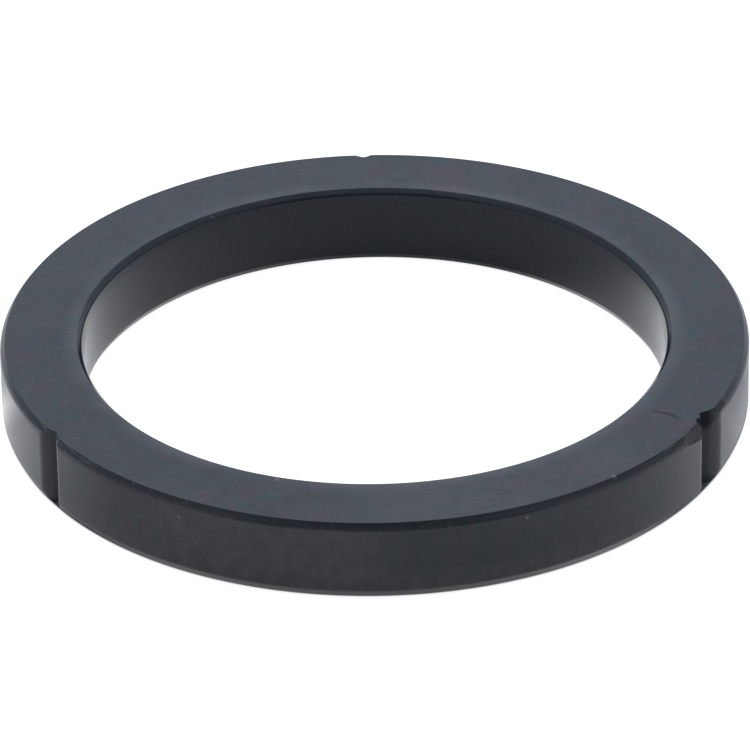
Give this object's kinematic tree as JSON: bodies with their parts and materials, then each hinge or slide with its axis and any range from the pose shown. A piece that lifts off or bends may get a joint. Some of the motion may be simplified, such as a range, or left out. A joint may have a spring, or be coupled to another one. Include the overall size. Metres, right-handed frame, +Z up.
{
  "type": "portafilter gasket",
  "caption": "Moulded rubber sealing ring with a flat-sided section, bevelled edges and narrow pull-out grooves in its outer wall, for the group head of a coffee machine.",
  "frame": {"origin": "on the axis of the bore, in the plane of the bottom face", "axes": "+Z up along the bore; one of the grooves in the outer wall lies on +Y"},
  "size_m": [0.073, 0.073, 0.008],
  "materials": {
    "rubber": "smooth black moulded rubber, faintly mottled, with a few dust specks"
  },
  "bodies": {
    "root": {"gasket_ring": "rubber"}
  },
  "joints": []
}
